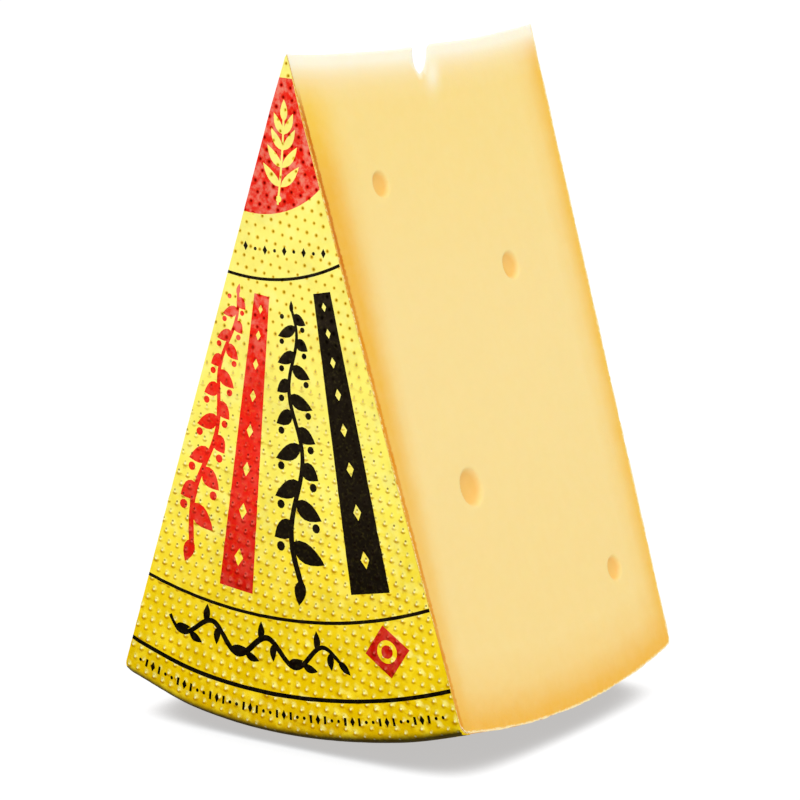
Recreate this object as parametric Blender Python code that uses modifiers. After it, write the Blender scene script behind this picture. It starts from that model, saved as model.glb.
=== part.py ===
"""Wedge of hard cow's-milk cheese standing on its heel, point up, with a foil label on one flat side.

Metres, +Z up. The wheel that the wedge was cut from has its axis along Y, at the wedge's point. The
label faces -Y and the two cut faces look towards +X and -X. The origin is the bottom centre of the box.
"""

import math

import bmesh
import bpy
from mathutils import Matrix, Vector

# The wheel
WHEEL_R = 0.150  # radius where its side meets its flat faces
WHEEL_H = 0.090  # height, which is the wedge's thickness
BULGE = 0.0047  # how far the side swells out at mid height
RIM_R = 0.0025  # rounding where the side meets a flat face
TURN_STEPS = 160

# The cut: where the two knife cuts meet and where they reach the rim, at the label side and the far side
FLAT_DEPTH = 0.0005  # how much of the heel is pressed flat where the wedge stands
AXIS_Z = WHEEL_R + BULGE - FLAT_DEPTH  # height of the wheel's axis
TIP_X = (0.0005, 0.0039)
RIGHT_X = (0.0464, 0.0445)
LEFT_X = (-0.0465, -0.0455)
TIP_WEAR = 0.0018  # how far the point has worn down midway
TIP_LEAST = 0.0002  # wear at its two ends
TIP_ROUND = 0.0003
CUT_STATIONS = 24
SHIFT = Vector((0.00026, 0.00035, 0.0))  # centres the wedge and its label on the origin

# The label
GAP = 0.0003
FOIL = 0.0004
WRAP = 0.0026  # how far the foil bends over the rim, measured along Y

# Eyes: side, place along Y, distance down the cut from the point, width, height, depth
EYES = (
    ("right", -0.0247, 0.0306, 0.0054, 0.0058, 0.0019),
    ("right", 0.0157, 0.0540, 0.0059, 0.0063, 0.0021),
    ("right", -0.0192, 0.1001, 0.0079, 0.0087, 0.0028),
    ("right", 0.0286, 0.1277, 0.0055, 0.0059, 0.0019),
    ("left", 0.0210, 0.0420, 0.0060, 0.0064, 0.0021),
    ("left", -0.0165, 0.0760, 0.0052, 0.0056, 0.0018),
    ("left", 0.0085, 0.1120, 0.0074, 0.0080, 0.0026),
    ("left", -0.0270, 0.1330, 0.0048, 0.0052, 0.0017),
)
CAP = 0.45  # how far outside the face an eye's centre lies, in half depths
NOTCH_Y = 0.0018  # an eye that opens through the worn point, askew
NOTCH_ALONG = Vector((-0.565, 0.801, -0.198))
NOTCH_HALF = (0.0140, 0.00175, 0.0084)  # half sizes along it, across it and down


def clear_scene():
    for obj in list(bpy.data.objects):
        bpy.data.objects.remove(obj)


def new_collection(name):
    collection = bpy.data.collections.new(name)
    bpy.context.scene.collection.children.link(collection)
    return collection


def new_object(name, mesh, collection):
    obj = bpy.data.objects.new(name, mesh)
    collection.objects.link(obj)
    return obj


def new_material(name, colour, roughness, metallic):
    material = bpy.data.materials.new(name)
    material.use_nodes = True
    shader = material.node_tree.nodes["Principled BSDF"]
    shader.inputs["Base Color"].default_value = (*colour, 1.0)
    shader.inputs["Roughness"].default_value = roughness
    shader.inputs["Metallic"].default_value = metallic
    return material


def as_cutter(obj):
    obj.hide_render = True
    obj.display_type = "WIRE"
    return obj


def outline(grow, end_y):
    """The wheel's side as (radius, y) points, from the label's face round to end_y, moved out by grow."""
    half = WHEEL_H / 2
    bulge_r = (half**2 + BULGE**2) / (2 * BULGE)
    bulge_c = WHEEL_R + BULGE - bulge_r
    rim_y = half - RIM_R
    rim_c = bulge_c + math.sqrt((bulge_r - RIM_R) ** 2 - rim_y**2)
    meet = math.atan2(rim_y, rim_c - bulge_c)
    points = []
    for i in range(7):
        t = math.pi / 2 + (meet - math.pi / 2) * i / 6
        points.append((rim_c + (RIM_R + grow) * math.cos(t), -rim_y - (RIM_R + grow) * math.sin(t)))
    for i in range(1, 16):
        t = meet - 2 * meet * i / 16
        points.append((bulge_c + (bulge_r + grow) * math.cos(t), -(bulge_r + grow) * math.sin(t)))
    for i in range(7):
        t = meet + (math.pi / 2 - meet) * i / 6
        points.append((rim_c + (RIM_R + grow) * math.cos(t), rim_y + (RIM_R + grow) * math.sin(t)))
    kept = [p for p in points if p[1] < end_y]
    if len(kept) < len(points):
        last, after = kept[-1], points[len(kept)]
        share = (end_y - last[1]) / (after[1] - last[1])
        kept.append((last[0] + share * (after[0] - last[0]), end_y))
    return kept


def turned(name, points, collection):
    """A closed body turned about the wheel's axis from an outline, with a flat disc at each end."""
    mesh = bpy.data.meshes.new(name + " outline")
    verts = [(r, 0.0, -y) for r, y in points]
    mesh.from_pydata(verts, [(i, i + 1) for i in range(len(verts) - 1)], [])
    guide = new_object(name + " guide", mesh, collection)
    screw = guide.modifiers.new("turn", "SCREW")
    screw.steps = screw.render_steps = TURN_STEPS
    screw.use_merge_vertices = True
    screw.merge_threshold = 0.00001
    bpy.context.view_layer.update()
    graph = bpy.context.evaluated_depsgraph_get()
    body = bpy.data.meshes.new_from_object(guide.evaluated_get(graph))
    bpy.data.objects.remove(guide)
    bm = bmesh.new()
    bm.from_mesh(body)
    bmesh.ops.remove_doubles(bm, verts=bm.verts, dist=0.000001)
    bmesh.ops.holes_fill(bm, edges=bm.edges, sides=0)
    bmesh.ops.recalc_face_normals(bm, faces=bm.faces)
    bm.to_mesh(body)
    bm.free()
    obj = new_object(name, body, collection)
    obj.rotation_euler = (math.pi / 2, 0.0, 0.0)
    obj.location = SHIFT + Vector((0.0, 0.0, AXIS_Z))
    return obj


def between(pair, y):
    """The value at y of something given at the label side and the far side."""
    return pair[0] + (pair[1] - pair[0]) * (y / WHEEL_H + 0.5)


def cut_line(side, y):
    """The point of the wedge and the direction down one cut, in the section at y."""
    foot_x = between(RIGHT_X if side == "right" else LEFT_X, y)
    tip = Vector((between(TIP_X, y), y, AXIS_Z + TIP_LEAST))
    foot = Vector((foot_x, y, AXIS_Z - math.sqrt(WHEEL_R**2 - foot_x**2)))
    return tip, (foot - tip).normalized()


def on_cut(side, y, height):
    tip, down = cut_line(side, y)
    return tip + down * ((tip.z - height) / -down.z)


def wear(y):
    t = min(max(y / WHEEL_H + 0.5, 0.0), 1.0)
    return TIP_LEAST + TIP_WEAR * (1 - abs(2 * t - 1) ** 2.6)


def knife(collection):
    """The space between the two cuts, above the floor: a loft of the wedge's section along Y."""
    bm = bmesh.new()
    rings = []
    for i in range(CUT_STATIONS + 1):
        y = (WHEEL_H / 2 + 0.004) * (2 * i / CUT_STATIONS - 1)
        top = AXIS_Z + TIP_LEAST - wear(y)
        crest = (on_cut("right", y, top) + on_cut("left", y, top)) / 2
        shoulder = top - TIP_ROUND
        ring = [on_cut("left", y, 0.0), on_cut("right", y, 0.0), on_cut("right", y, shoulder)]
        ring += [crest, on_cut("left", y, shoulder)]
        rings.append([bm.verts.new(p) for p in ring])
    for low, high in zip(rings, rings[1:]):
        for j in range(5):
            bm.faces.new((low[j], low[(j + 1) % 5], high[(j + 1) % 5], high[j]))
    bm.faces.new(rings[0])
    bm.faces.new(rings[-1])
    bmesh.ops.triangulate(bm, faces=bm.faces)
    bmesh.ops.recalc_face_normals(bm, faces=bm.faces)
    mesh = bpy.data.meshes.new("knife")
    bm.to_mesh(mesh)
    bm.free()
    obj = new_object("knife", mesh, collection)
    obj.location = SHIFT
    return as_cutter(obj)


def ball(name, matrix, half_sizes, collection):
    """An ellipsoid, with its size applied."""
    bm = bmesh.new()
    bmesh.ops.create_uvsphere(bm, u_segments=22, v_segments=14, radius=1.0)
    bmesh.ops.transform(bm, verts=bm.verts, matrix=Matrix.Diagonal((*half_sizes, 1.0)))
    mesh = bpy.data.meshes.new(name)
    bm.to_mesh(mesh)
    bm.free()
    obj = new_object(name, mesh, collection)
    obj.matrix_world = matrix
    return as_cutter(obj)


def eye(name, side, y, down_r, width, height, depth, collection):
    """A shallow round hollow in a cut face, as a ball whose centre lies outside it."""
    tip, down = cut_line(side, y)
    along = Vector((0.0, 1.0, 0.0))
    out = down.cross(along) if side == "left" else along.cross(down)
    deep = depth / (1 - CAP)
    open_share = math.sqrt(1 - CAP**2)
    centre = tip + down * down_r + out * (deep * CAP) + SHIFT
    matrix = Matrix((out, along, down)).transposed().to_4x4()
    matrix.translation = centre
    half = (deep, width / 2 / open_share, height / 2 / open_share)
    return ball(name, matrix, half, collection)


def cut_with(obj, cutter, operation, name):
    modifier = obj.modifiers.new(name, "BOOLEAN")
    modifier.operation = operation
    modifier.object = cutter
    return modifier


def dress(obj, material):
    """Gives a part its material and smooth shading with crisp cut edges."""
    obj.data.materials.append(material)
    obj.data.shade_smooth()
    obj.data.set_sharp_from_angle(angle=math.radians(30))


def main():
    clear_scene()
    parts = new_collection("cheese wedge")
    cutters = new_collection("cutters")
    holes = new_collection("eyes")
    cutters.children.link(holes)
    bpy.context.scene.collection.children.unlink(holes)

    cut = knife(cutters)
    paste = new_material("cheese paste", (0.93, 0.72, 0.34), 0.5, 0.0)
    gold = new_material("printed foil", (0.90, 0.74, 0.10), 0.32, 0.35)

    cheese = turned("cheese", outline(0.0, WHEEL_H), parts)
    cut_with(cheese, cut, "INTERSECT", "two cuts and the flat heel")
    for i, numbers in enumerate(EYES):
        eye(f"eye {i + 1}", *numbers, holes)
    along = NOTCH_ALONG.normalized()
    across = Vector((-along.y, along.x, 0.0)).normalized()
    notch = Matrix((along, across, along.cross(across))).transposed().to_4x4()
    notch.translation = SHIFT + Vector((between(TIP_X, NOTCH_Y), NOTCH_Y, AXIS_Z))
    ball("eye in the point", notch, NOTCH_HALF, holes)
    modifier = cheese.modifiers.new("eyes", "BOOLEAN")
    modifier.operation = "DIFFERENCE"
    modifier.operand_type = "COLLECTION"
    modifier.collection = holes
    dress(cheese, paste)

    label_end = -WHEEL_H / 2 + WRAP
    label = turned("label", outline(GAP + FOIL, label_end), parts)
    inside = as_cutter(turned("cheese and its clearance", outline(GAP, WHEEL_H), cutters))
    cut_with(label, inside, "DIFFERENCE", "hollow")
    cut_with(label, cut, "INTERSECT", "two cuts")
    dress(label, gold)

    base = bpy.data.objects.new("wedge", None)
    base.empty_display_size = 0.02
    parts.objects.link(base)
    for obj in (cheese, label):
        obj.parent = base


main()
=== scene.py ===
"""Wedge of cheese with a printed foil label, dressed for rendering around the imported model.

Lengths are in millimetres until a mesh is made. The local frame of the shape functions has the wheel's
axis at x = 0, z = 0, the middle of the wedge's thickness at y = 0 and -Y towards the label.
"""

import math

import bmesh
import bpy
import numpy as np
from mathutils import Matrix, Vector, noise
from mathutils.geometry import delaunay_2d_cdt
from mathutils.kdtree import KDTree


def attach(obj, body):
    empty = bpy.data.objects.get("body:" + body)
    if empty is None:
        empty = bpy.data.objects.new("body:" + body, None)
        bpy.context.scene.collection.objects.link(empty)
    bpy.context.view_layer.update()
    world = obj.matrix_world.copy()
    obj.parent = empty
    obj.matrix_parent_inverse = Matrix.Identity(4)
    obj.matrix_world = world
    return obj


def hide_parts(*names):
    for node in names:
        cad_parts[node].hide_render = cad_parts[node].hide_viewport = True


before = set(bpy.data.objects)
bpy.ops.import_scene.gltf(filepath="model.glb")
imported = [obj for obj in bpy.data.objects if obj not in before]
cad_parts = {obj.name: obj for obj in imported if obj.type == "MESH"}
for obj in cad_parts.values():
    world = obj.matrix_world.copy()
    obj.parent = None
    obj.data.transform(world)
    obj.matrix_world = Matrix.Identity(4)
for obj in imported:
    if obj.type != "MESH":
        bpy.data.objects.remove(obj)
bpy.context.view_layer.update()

# The wheel and the two cuts, as in the solid model
ORIGIN = np.array([0.26, 0.35, 154.2])
WHEEL_R = 150.0
HALF_H = 45.0
BULGE = 4.7
RIM_R = 2.5
TIP_X = (0.5, 3.9)
RIGHT_X = (46.4, 44.5)
LEFT_X = (-46.5, -45.5)
TIP_LEAST = 0.2
TIP_WEAR = 1.8
TIP_ROUND = 0.3
NOTCH_Y = 1.8
NOTCH_WIDTH, NOTCH_DEPTH = 1.6, 6.55
EYES = {
    "right": (
        (-24.4, 31.0, 5.4, 6.0, 1.9),
        (15.7, 54.2, 5.9, 6.5, 2.1),
        (-19.2, 100.1, 7.9, 8.7, 2.8),
        (28.6, 127.7, 5.5, 5.9, 1.9),
    ),
    "left": (
        (21.0, 42.0, 6.0, 6.4, 2.1),
        (-16.5, 76.0, 5.2, 5.6, 1.8),
        (8.5, 112.0, 7.4, 8.0, 2.6),
        (-27.0, 133.0, 4.8, 5.2, 1.7),
    ),
}

# The camera, fitted to the corners of the wedge in the photograph
CAMERA_AT = Vector((0.44247, -0.62916, 0.22668))
CAMERA_AZ, CAMERA_EL = 35.189, 11.403
CAMERA_LENS = 154.5

# The floor and the light: how bright the floor is in the open and in the shadow, and how much open sky
# each of them has
WORLD_STRENGTH = 0.5
FLOOR_GLOW, SHADOW_GLOW = 0.98, 0.505
SHADOW_FROM, SHADOW_TO = 0.2, 0.6
FLOOR_HALF = 6.0
SUNS = (
    ("overhead", (0.05, 0.0, 1.0), 0.7, 50.0),
    ("key", (0.5, -0.45, 0.85), 1.2, 30.0),
    ("front", (-0.198, -0.906, 0.352), 0.5, 24.0),
    ("back", (-0.75, 0.5, 0.45), 0.9, 40.0),
)


def rows_of(*values):
    """One row for each point, from values or arrays of its coordinates."""
    return np.stack(np.broadcast_arrays(*values), -1)


def noise3(points, scale, seed=0.0):
    """Smooth noise between about -1 and 1 at points in millimetres."""
    shift = Vector((seed * 17.3, seed * 5.1, seed * 9.7))
    return np.array([noise.noise(Vector(p) / scale + shift) for p in points])


def smooth(low, high, value):
    """0 below low, 1 above high and an easy curve between them."""
    t = np.clip((value - low) / (high - low), 0.0, 1.0)
    return t * t * (3 - 2 * t)


# Shape of the wheel: the circle of its swelling, the circle of its rims and where the two meet
BULGE_R = (HALF_H**2 + BULGE**2) / (2 * BULGE)
BULGE_C = WHEEL_R + BULGE - BULGE_R
RIM_Y = HALF_H - RIM_R
RIM_C = BULGE_C + math.sqrt((BULGE_R - RIM_R) ** 2 - RIM_Y**2)
RIM_MEET = math.atan2(RIM_Y, RIM_C - BULGE_C)


def side_radius(y):
    """The wheel's radius at y, over the swelling and the two rounded rims."""
    y = np.abs(y)
    bulge = BULGE_C + np.sqrt(BULGE_R**2 - y**2)
    rim = RIM_C + np.sqrt(np.clip(RIM_R**2 - np.clip(y - RIM_Y, 0, RIM_R) ** 2, 0, None))
    return np.where(y < BULGE_R * math.sin(RIM_MEET), bulge, rim)


def between(pair, y):
    """The value at y of something given at the label side and the far side."""
    return pair[0] + (pair[1] - pair[0]) * (y / (2 * HALF_H) + 0.5)


def cut_line(side, y):
    """Point of the wedge and direction down one cut, as (x, z) rows, in the sections at y."""
    y = np.atleast_1d(np.asarray(y, float))
    foot_x = between(RIGHT_X if side == "right" else LEFT_X, y)
    tip = rows_of(between(TIP_X, y), TIP_LEAST)
    foot = rows_of(foot_x, -np.sqrt(WHEEL_R**2 - foot_x**2))
    down = foot - tip
    return tip, down / np.linalg.norm(down, axis=1, keepdims=True)


def cut_point(side, y, r, out=0.0):
    """Local points on a cut at y and distance r down from the wedge's point, moved outwards by out."""
    tip, down = cut_line(side, y)
    normal = rows_of(-down[:, 1], down[:, 0]) * (1 if side == "right" else -1)
    flat = tip + down * np.asarray(r, float)[..., None] + normal * np.asarray(out, float)[..., None]
    return rows_of(flat[:, 0], y, flat[:, 1])


def reach(side, y, radius):
    """How far down a cut the wheel's given radius is met."""
    tip, down = cut_line(side, y)
    along = (tip * down).sum(1)
    return -along + np.sqrt(along**2 - (tip**2).sum(1) + np.asarray(radius, float) ** 2)


def crest(y):
    """Height of the worn point at y, below the wheel's axis."""
    t = np.clip(np.asarray(y, float) / (2 * HALF_H) + 0.5, 0, 1)
    return -TIP_WEAR * (1 - np.abs(2 * t - 1) ** 2.6) - 0.12 * np.sin(t * 19.0) * np.sin(t * math.pi)


def top_reach(side, y):
    """How far down a cut its worn top edge lies."""
    tip, down = cut_line(side, y)
    return (TIP_LEAST - (crest(y) - TIP_ROUND)) / -down[:, 1]


# The eye that opens through the point
NOTCH_ALONG = np.array([-0.565, 0.801, -0.198])
NOTCH_ACROSS = np.array([0.817, 0.576, 0.0])
NOTCH_UP = np.cross(NOTCH_ACROSS, NOTCH_ALONG)
NOTCH_AT = np.array([between(TIP_X, NOTCH_Y), NOTCH_Y, float(crest(NOTCH_Y))])


def notch_half_width(depth):
    """Half its width at a depth below the point."""
    return NOTCH_WIDTH * (1 - np.clip(depth / NOTCH_DEPTH, 0, 1) ** 3.2) ** 0.77


def notch_profile(flare):
    """(across, depth) round the notch, from its label side to its far side, which flares."""
    depth = np.array([0.42, 0.75, 1.2, 1.8, 2.5, 3.2, 3.9, 4.5, 5.0, 5.45, 5.85, 6.2, 6.45])
    half = notch_half_width(depth) + 0.25 * np.exp(-depth / 0.4)
    wide = half + flare * (1 - (depth / NOTCH_DEPTH) ** 2)
    left = rows_of(-half, depth)
    right = rows_of(wide, depth)
    return np.concatenate([left, [(0.05, NOTCH_DEPTH)], right[::-1]])


def notch_rim(side):
    """(y, r) on a cut where the notch's wall meets it."""
    found = []
    for across, depth in notch_profile(0.0 if side == "right" else 0.6):
        start = NOTCH_AT + NOTCH_ACROSS * across - NOTCH_UP * depth

        def gap(along):
            point = start + NOTCH_ALONG * along
            tip, down = cut_line(side, point[1])
            r = (TIP_LEAST - point[2]) / -down[0, 1]
            return point[0] - tip[0, 0] - down[0, 0] * r, point[1], r

        low, high = -12.0, 12.0
        for _ in range(40):
            middle = (low + high) / 2
            # The gap shrinks along the notch, which runs from right to left
            low, high = (middle, high) if gap(middle)[0] > 0 else (low, middle)
        _, y, r = gap(low)
        found.append((y, max(r, float(top_reach(side, y)[0]) + 0.04 * (1 + depth))))
    return np.array(found)


def top_edge(side):
    """(y, r) along the top edge of a cut, with the notch, from the label side to the far side."""
    rim = notch_rim(side)
    before = np.linspace(-HALF_H, rim[0, 0] - 0.4, 62)
    after = np.linspace(rim[-1, 0] + 0.4, HALF_H, 58)
    left = rows_of(before, top_reach(side, before))
    right = rows_of(after, top_reach(side, after))
    return np.concatenate([left, rim, right]), len(before), len(rim)


# Fine mesh of the cheese: its two materials, how finely its edges are divided, the outward direction of
# the right cut, and how close its vertices are welded and its short edges collapse, in metres
PASTE, RIND = range(2)
EDGE_STEPS, STRIP_COLUMNS, HEEL_COLUMNS = 140, 7, 96
CUT_OUT_X, CUT_OUT_Z = 0.951, 0.31
WELD, COLLAPSE = 0.0000015, 0.0000005


def heel_stations():
    """(y, radius) round the side of the wheel, from the far side's flat face to the label side's."""
    turns = np.linspace(math.pi / 2, RIM_MEET, 8)[:-1]
    far = [(RIM_Y + RIM_R * math.sin(t), RIM_C + RIM_R * math.cos(t)) for t in turns]
    meet_y = BULGE_R * math.sin(RIM_MEET)
    rows = np.linspace(meet_y, -meet_y, 84)
    middle = [(y, BULGE_C + math.sqrt(BULGE_R**2 - y**2)) for y in rows]
    near = [(-y, radius) for y, radius in reversed(far)]
    return far + middle + near


def edge_rows(side, y):
    """Distances down a cut at y, from its top edge to where the flat face ends."""
    top = float(top_reach(side, y)[0])
    end = float(reach(side, y, RIM_C)[0])
    return np.linspace(top, end, EDGE_STEPS)


def cut_outline(side):
    """(y, r) round a whole cut face, from the label side's top and on past the far side."""
    top = top_edge(side)[0]
    far = np.array([(HALF_H, r) for r in edge_rows(side, HALF_H)])
    heel = np.array([(y, float(reach(side, y, radius)[0])) for y, radius in heel_stations()])
    near = np.array([(-HALF_H, r) for r in edge_rows(side, -HALF_H)[::-1]])
    return np.concatenate([top, far[1:], heel[1:], near[1:-1]])


def inside(points, outline):
    """Which points lie inside a closed outline."""
    x, y = points[:, 0], points[:, 1]
    found = np.zeros(len(points), bool)
    for (ax, ay), (bx, by) in zip(outline, np.roll(outline, -1, axis=0)):
        if ay == by:
            continue
        crosses = (ay > y) != (by > y)
        found ^= crosses & (x < (bx - ax) * (y - ay) / (by - ay) + ax)
    return found


class Spread:
    """Points in the plane that keep a distance from those already placed."""

    def __init__(self, cell):
        self.cell = cell
        self.grid = {}
        self.points = []

    def add(self, points, gap):
        reach_cells = int(math.ceil(gap / self.cell))
        for p in map(tuple, points):
            cx, cy = int(p[0] // self.cell), int(p[1] // self.cell)
            near = (
                q
                for i in range(cx - reach_cells, cx + reach_cells + 1)
                for j in range(cy - reach_cells, cy + reach_cells + 1)
                for q in self.grid.get((i, j), ())
            )
            if all((q[0] - p[0]) ** 2 + (q[1] - p[1]) ** 2 >= gap * gap for q in near):
                self.grid.setdefault((cx, cy), []).append(p)
                self.points.append(p)


def hex_grid(low, high, pitch, seed):
    """A slightly jittered triangular grid of points between two corners."""
    rng = np.random.default_rng(seed)
    rows = np.arange(low[1], high[1], pitch * 0.866)
    found = []
    for k, v in enumerate(rows):
        u = np.arange(low[0] + (k % 2) * pitch / 2, high[0], pitch)
        found.append(rows_of(u, v))
    points = np.concatenate(found)
    return points + rng.uniform(-0.12, 0.12, points.shape) * pitch


def eye_rings(eye):
    """Mesh points on rings inside and just outside an eye."""
    y, r, width, height, _ = eye
    shares = (0.0, 0.22, 0.42, 0.6, 0.74, 0.85, 0.93, 0.98, 1.02, 1.07, 1.14, 1.26)
    found = []
    for share in shares:
        count = 1 if share == 0 else (14 if share < 0.5 else 32)
        turns = np.arange(count) * 2 * math.pi / count + share
        ring_y = y + share * width / 2 * np.cos(turns)
        found.append(rows_of(ring_y, r + share * height / 2 * np.sin(turns)))
    return np.concatenate(found)


def eye_share(eye, y, r):
    """Distance from an eye's middle, 1 at its edge."""
    return np.hypot((y - eye[0]) / (eye[2] / 2), (r - eye[1]) / (eye[3] / 2))


def eye_depth(eye, y, r):
    """How far the paste lies behind its cut face in and round an eye."""
    share = eye_share(eye, y, r)
    keep = 0.45
    ball = 0.62 * eye[4] / (1 - keep)
    bowl = ball * (np.sqrt(np.clip(1 - share**3 * (1 - keep**2), keep**2, 1)) - keep)
    lip = 0.10 * np.clip(1 - (share - 0.97) / 0.2, 0, 1) ** 2 * (share > 0.97)
    return np.where(share < 1, bowl, 0.0) + np.where(share > 0.97, lip, 0.10)


def triangulate(points, outline_count):
    """Triangles over points whose first outline_count form the closed outline."""
    loop = [(i, (i + 1) % outline_count) for i in range(outline_count)]
    verts, _, faces, _, _, _ = delaunay_2d_cdt([Vector(p) for p in points], loop, [], 1, 1e-6, False)
    verts, faces = np.array([tuple(v) for v in verts]), np.array([tuple(f) for f in faces])
    kept = inside(verts[faces].mean(axis=1), points[:outline_count])
    return verts, [tuple(f) for f in faces[kept]]


def store(mesh, name, values):
    """Keeps three values for each vertex under a name that a material can read."""
    layer = mesh.attributes.new(name, "FLOAT_VECTOR", "POINT")
    layer.data.foreach_set("vector", values.astype(np.float32).ravel())


def local_points(mesh):
    """A mesh's vertices in millimetres."""
    local = np.empty(len(mesh.vertices) * 3)
    mesh.vertices.foreach_get("co", local)
    return local.reshape(-1, 3) * 1000


def new_object(name, data):
    obj = bpy.data.objects.new(name, data)
    bpy.context.scene.collection.objects.link(obj)
    return obj


def shaded_object(name, mesh, local, sharp):
    """An object with its vertices at local points, smooth but for edges sharper than an angle."""
    mesh.vertices.foreach_set("co", ((local + ORIGIN) * 0.001).ravel())
    mesh.update()
    mesh.shade_smooth()
    mesh.set_sharp_from_angle(angle=math.radians(sharp))
    return new_object(name, mesh)


class Builder:
    """Collects patches of vertices and faces, each face with a material number."""

    def __init__(self):
        self.verts = []
        self.faces = []
        self.mats = []
        self.values = []
        self.count = 0

    def add(self, verts, faces, mats, values=None):
        """A patch, with one material number or a list of one for each face."""
        self.faces += [tuple(int(i) + self.count for i in face) for face in faces]
        self.mats += mats if isinstance(mats, list) else [mats] * len(faces)
        self.verts.append(verts)
        self.values.append(np.zeros((len(verts), 6)) if values is None else values)
        self.count += len(verts)

    def add_rows(self, rows, mat):
        self.add(np.concatenate(rows), grid_faces(len(rows), len(rows[0])), mat)

    def mesh(self, name, attributes=()):
        """One mesh in the local frame, in metres, with the patches' shared edges welded."""
        mesh = bpy.data.meshes.new(name)
        mesh.from_pydata((np.concatenate(self.verts) * 0.001).tolist(), [], self.faces)
        mesh.polygons.foreach_set("material_index", np.array(self.mats, np.int32))
        values = np.concatenate(self.values)
        for k, attribute in enumerate(attributes):
            store(mesh, attribute, values[:, 3 * k : 3 * k + 3])
        bm = bmesh.new()
        bm.from_mesh(mesh)
        bmesh.ops.remove_doubles(bm, verts=bm.verts, dist=WELD)
        bmesh.ops.dissolve_degenerate(bm, edges=bm.edges, dist=COLLAPSE)
        bmesh.ops.recalc_face_normals(bm, faces=bm.faces)
        loose = [v for v in bm.verts if not v.link_faces]
        bmesh.ops.delete(bm, geom=loose, context="VERTS")
        bm.to_mesh(mesh)
        bm.free()
        return mesh


def grid_faces(rows, columns):
    """Four-sided faces over points that lie in rows and columns."""
    return [
        (i * columns + j, i * columns + j + 1, (i + 1) * columns + j + 1, (i + 1) * columns + j)
        for i in range(rows - 1)
        for j in range(columns - 1)
    ]


def cut_face(build, side, pitch):
    """One cut face, with its eyes, as triangles in (y, r) laid on the cut."""
    outline = cut_outline(side)
    spread = Spread(1.0)
    spread.add(outline, 0.0)
    for eye in EYES[side]:
        spread.add(eye_rings(eye), 0.02)
    candidates = []
    for inset in (0.3, 0.7, 1.2):
        r = np.arange(2.0, 149.0, 0.7)
        candidates += [rows_of(inset - HALF_H, r), rows_of(HALF_H - inset, r)]
        y = np.arange(-HALF_H + 2.5, HALF_H - 2.5, 0.7)
        candidates.append(rows_of(y, reach(side, y, side_radius(y) - inset)))
        y = np.arange(-HALF_H + inset, HALF_H - inset, 0.6)
        candidates.append(rows_of(y, top_reach(side, y) + inset))
    edges = np.concatenate(candidates)
    spread.add(edges[inside(edges, outline)], 0.26)
    grid = hex_grid((-HALF_H, 0.0), (HALF_H, 160.0), pitch, 3)
    grid = grid[inside(grid, outline)]
    clear = np.ones(len(grid), bool)
    for eye in EYES[side]:
        clear &= eye_share(eye, grid[:, 0], grid[:, 1]) > 1.36
    spread.add(grid[clear], pitch * 0.62)
    flat, faces = triangulate(np.array(spread.points), len(outline))
    y, r = flat[:, 0], flat[:, 1]
    out = np.zeros(len(flat))
    for eye in EYES[side]:
        near = eye_share(eye, y, r) < 1.3
        out[near] -= eye_depth(eye, y[near], r[near])
    build.add(cut_point(side, y, r, out), faces, PASTE)


def point_strip(build):
    """The worn point between the two cuts, and the wall of the eye that opens through it."""
    right, before, turned = top_edge("right")
    left = top_edge("left")[0]
    rows = []
    across = np.linspace(0, 1, STRIP_COLUMNS)
    for k, (a, b) in enumerate(zip(right, left)):
        row = np.linspace(cut_point("right", *a)[0], cut_point("left", *b)[0], STRIP_COLUMNS)
        if not before <= k < before + turned:
            row[:, 2] += TIP_ROUND * (1 - (2 * across - 1) ** 2)
        rows.append(row)
    build.add_rows(rows, PASTE)
    return rows


def heel(build):
    """The outer side of the wheel and its rounded rims, between the two cuts."""
    rows = []
    for y, radius in heel_stations():
        ends = []
        for side in ("left", "right"):
            x, _, z = cut_point(side, y, reach(side, y, radius)[0])[0]
            ends.append(math.atan2(x, -z))
        turns = np.linspace(*ends, HEEL_COLUMNS)
        rows.append(rows_of(radius * np.sin(turns), y, -radius * np.cos(turns)))
    build.add_rows(rows, RIND)
    return rows


def flat_side(build, y, arc, strip_end, pitch, seed):
    """One flat side of the wheel between the cuts: arc runs left to right, strip_end right to left."""
    left, right = (cut_point(side, y, edge_rows(side, y)) for side in ("left", "right"))
    loop = np.concatenate([left, arc[1:-1], right[::-1], strip_end[1:-1]])
    outline = loop[:, [0, 2]]
    spread = Spread(1.0)
    spread.add(outline, 0.0)
    grid = hex_grid((-50.0, -155.0), (50.0, 0.0), pitch, seed)
    spread.add(grid[inside(grid, outline)], pitch * 0.55)
    flat, faces = triangulate(np.array(spread.points), len(outline))
    build.add(rows_of(flat[:, 0], y, flat[:, 1]), faces, RIND)


def skin_normals(points):
    """Outward directions of the wheel's skin at local points on it."""
    radius = np.hypot(points[:, 0], points[:, 2])
    radial = rows_of(points[:, 0], 0.0, points[:, 2]) / np.maximum(radius, 1e-6)[:, None]
    over_y = np.clip(np.abs(points[:, 1]) - RIM_Y, 0, None)
    over_r = np.clip(radius - RIM_C, 0, None)
    turn = np.where(over_y > 0, np.arctan2(over_y, over_r), 0.0)
    normal = radial * np.cos(turn)[:, None]
    normal[:, 1] = np.sin(turn) * np.sign(points[:, 1])
    return normal


def fuller(points):
    """Local points with the label side's rim drawn out a little on the left, where the heel is fuller."""
    radius = np.hypot(points[:, 0], points[:, 2])
    angle = np.degrees(np.arctan2(points[:, 0], -points[:, 2]))
    out = 0.62 * smooth(-18.7, -17.4, angle) + 0.78 * smooth(-17.0, -10.5, angle)
    out *= (1 - smooth(-12.0, 11.0, angle)) * smooth(134.0, 149.0, radius)
    out *= 1 - smooth(-36.0, -8.0, points[:, 1])
    grown = points.copy()
    grown[:, [0, 2]] *= ((radius + out) / np.maximum(radius, 1e-6))[:, None]
    return grown


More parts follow.
